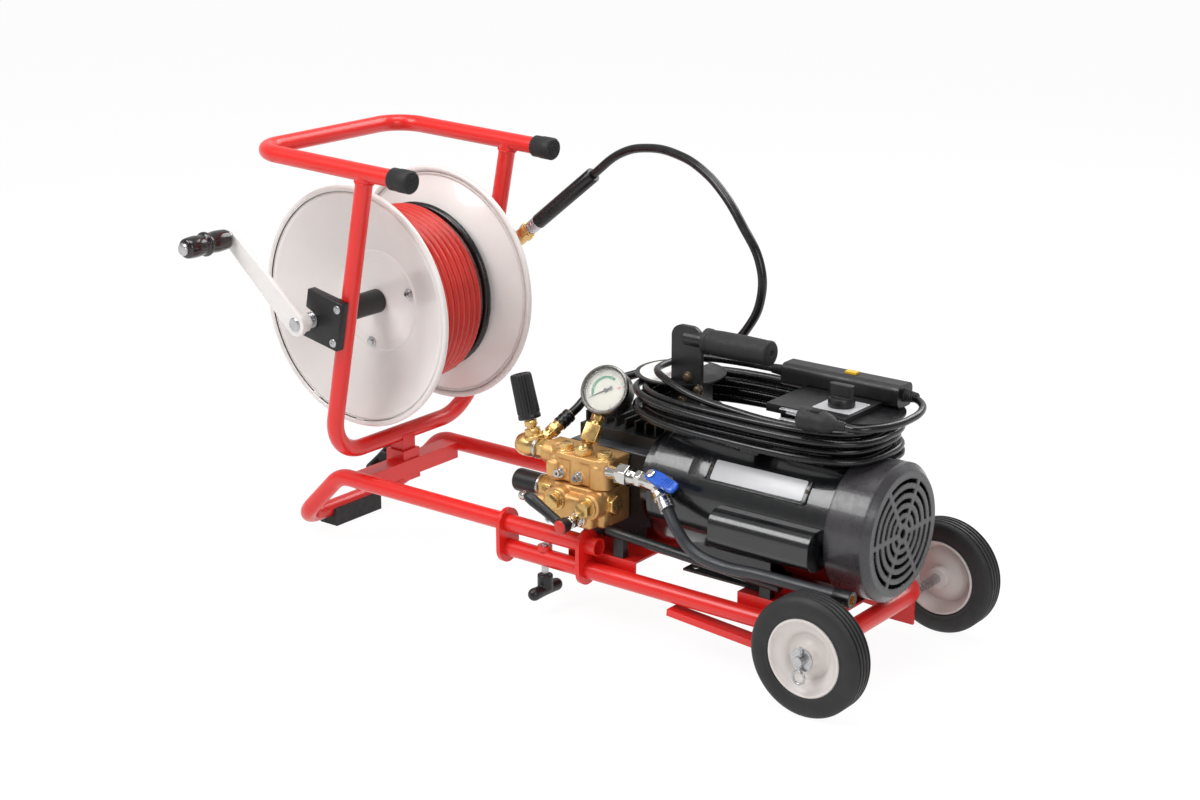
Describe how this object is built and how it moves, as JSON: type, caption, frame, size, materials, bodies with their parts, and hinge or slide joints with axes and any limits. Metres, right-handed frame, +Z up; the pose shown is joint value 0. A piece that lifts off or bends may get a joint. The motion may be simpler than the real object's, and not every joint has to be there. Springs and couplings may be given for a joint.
{
  "type": "electric drain jetter",
  "caption": "Electric drain jetter on a wheeled tube cart: motor, brass plunger pump with gauge and unloader, coiled power cord, and a clamped-on reel cart with crank and jet hose.",
  "frame": {"origin": "on the ground under the middle of the box round the machine without its power cord", "axes": "+X along the machine from the reel to the wheels, +Y away from the crank side, +Z up"},
  "size_m": [1.0514, 0.4868, 0.5874],
  "materials": {
    "red_paint": "gloss powder coat",
    "reel_paint": "pale grey gloss paint",
    "black_paint": "gloss black paint",
    "pump_black": "black painted casting",
    "brass": "bare brass",
    "steel": "zinc plated",
    "arm_paint": "pale grey paint",
    "plated": "plated",
    "lens": "clear",
    "winding": "laminations and windings",
    "ceramic": "ceramic sleeves",
    "tyre": "semi-pneumatic rubber",
    "hub": "grey paint",
    "black_plastic": "moulded",
    "bakelite": "dark moulded",
    "blue_plastic": "dipped",
    "yellow_plastic": "moulded",
    "rubber": "black",
    "red_hose": "orange red jacket"
  },
  "bodies": {
    "chassis": {"lower_frame": "red_paint", "frame_plates": "red_paint", "axle": "steel", "axle_pins": "steel", "motor_shell": "black_paint", "end_bells": "black_paint", "fan_cover": "black_paint", "stator": "winding", "capacitor_cover": "black_paint", "pump_crankcase": "pump_black", "plungers": "ceramic", "pump_head": "brass", "valve_caps": "brass", "damper_cap": "black_plastic", "head_screws": "steel", "unloader_body": "brass", "gauge_case": "plated", "gauge_lens": "lens", "inlet_valve": "plated", "inlet_hose": "rubber", "pulse_valve": "plated", "guard_bar": "black_paint", "handle_bracket": "black_paint", "carry_grip": "rubber", "cord_bracket": "black_paint", "gfci_body": "black_plastic", "power_cord": "rubber", "cord_tail": "rubber", "plug": "rubber", "delivery_hose": "rubber", "hose_fittings": "brass"},
    "rotor": {"rotor_shaft": "steel", "cooling_fan": "black_plastic"},
    "support_leg_near": {"leg_near": "red_paint"},
    "support_leg_far": {"leg_far": "red_paint"},
    "wheel_near": {"near_tyre": "tyre", "near_hub": "hub"},
    "wheel_far": {"far_tyre": "tyre", "far_hub": "hub"},
    "pressure_knob": {"unloader_knob": "black_plastic"},
    "supply_lever": {"inlet_lever": "blue_plastic"},
    "pulse_handle": {"pulse_lever": "black_plastic"},
    "needle": {"gauge_needle": "black_plastic"},
    "switch": {"switch_knob": "black_plastic"},
    "test_button": {"gfci_button": "yellow_plastic"},
    "clamp_screw_near": {"clamp_knob_near": "black_plastic"},
    "clamp_screw_far": {"clamp_knob_far": "black_plastic"},
    "reel_cart": {"reel_cart_frame": "red_paint", "foot_pad": "rubber", "reel_frame": "red_paint", "tube_caps": "rubber", "bearing_blocks": "black_plastic", "hose_swivel": "brass"},
    "post_screw": {"post_knob": "black_plastic"},
    "reel": {"reel_spool": "reel_paint", "jet_hose": "red_hose", "leader_hose": "rubber", "reel_shaft": "steel", "crank_arm": "arm_paint"},
    "crank_handle": {"crank_grip": "bakelite"}
  },
  "joints": [
    {"name": "wheel_near_spin", "type": "hinge", "parent": "chassis", "child": "wheel_near", "pos_m": [0.44945, -0.1129, 0.0762], "axis": [0, 1, 0], "continuous": true},
    {"name": "wheel_far_spin", "type": "hinge", "parent": "chassis", "child": "wheel_far", "pos_m": [0.44945, 0.2111, 0.0762], "axis": [0, 1, 0], "continuous": true},
    {"name": "rotor_spin", "type": "hinge", "parent": "chassis", "child": "rotor", "pos_m": [0.24945, 0.0491, 0.1875], "axis": [1, 0, 0], "continuous": true},
    {"name": "leg_near_fold", "type": "hinge", "parent": "chassis", "child": "support_leg_near", "pos_m": [0.42345, -0.0589, 0.038], "axis": [0, -1, 0], "range_deg": [0, 13]},
    {"name": "leg_far_fold", "type": "hinge", "parent": "chassis", "child": "support_leg_far", "pos_m": [0.42345, 0.1571, 0.038], "axis": [0, -1, 0], "range_deg": [0, 13]},
    {"name": "pressure_turn", "type": "hinge", "parent": "chassis", "child": "pressure_knob", "pos_m": [-0.05443, -0.0224, 0.25019], "axis": [-0.2599, 0, 0.9656], "range_deg": [-360, 360]},
    {"name": "supply_turn", "type": "hinge", "parent": "chassis", "child": "supply_lever", "pos_m": [0.16845, -0.04103, 0.212], "axis": [0, -0.6, 0.8], "range_deg": [-90, 0]},
    {"name": "pulse_turn", "type": "hinge", "parent": "chassis", "child": "pulse_handle", "pos_m": [0.06531, -0.0959, 0.149], "axis": [0, -1, 0], "range_deg": [0, 90]},
    {"name": "needle_turn", "type": "hinge", "parent": "chassis", "child": "needle", "pos_m": [0.05041, 0.01203, 0.29803], "axis": [0.1541, -0.8286, 0.5381], "range_deg": [-270, 0]},
    {"name": "switch_turn", "type": "hinge", "parent": "chassis", "child": "switch", "pos_m": [0.37945, 0.0561, 0.34], "axis": [0, 0, 1], "range_deg": [0, 90]},
    {"name": "test_press", "type": "slide", "parent": "chassis", "child": "test_button", "axis": [0, 0, -1], "range_m": [0, 0.002], "stiffness_N_per_m": 500},
    {"name": "clamp_near_turn", "type": "hinge", "parent": "chassis", "child": "clamp_screw_near", "pos_m": [-0.00075, -0.0589, 0.06], "axis": [0, 0, 1], "range_deg": [-360, 360]},
    {"name": "clamp_far_turn", "type": "hinge", "parent": "chassis", "child": "clamp_screw_far", "pos_m": [-0.00075, 0.1571, 0.06], "axis": [0, 0, 1], "range_deg": [-360, 360]},
    {"name": "reel_cart_slide", "type": "slide", "parent": "chassis", "child": "reel_cart", "axis": [-1, 0, 0], "range_m": [0, 0.14]},
    {"name": "post_screw_turn", "type": "hinge", "parent": "reel_cart", "child": "post_screw", "pos_m": [-0.38055, 0.0491, 0.104], "axis": [1, 0, 0], "range_deg": [-360, 360]},
    {"name": "reel_spin", "type": "hinge", "parent": "reel_cart", "child": "reel", "pos_m": [-0.35395, 0.0491, 0.3592], "axis": [0, 1, 0], "continuous": true},
    {"name": "crank_handle_spin", "type": "hinge", "parent": "reel", "child": "crank_handle", "pos_m": [-0.47575, -0.1909, 0.4614], "axis": [0, 1, 0], "continuous": true}
  ]
}
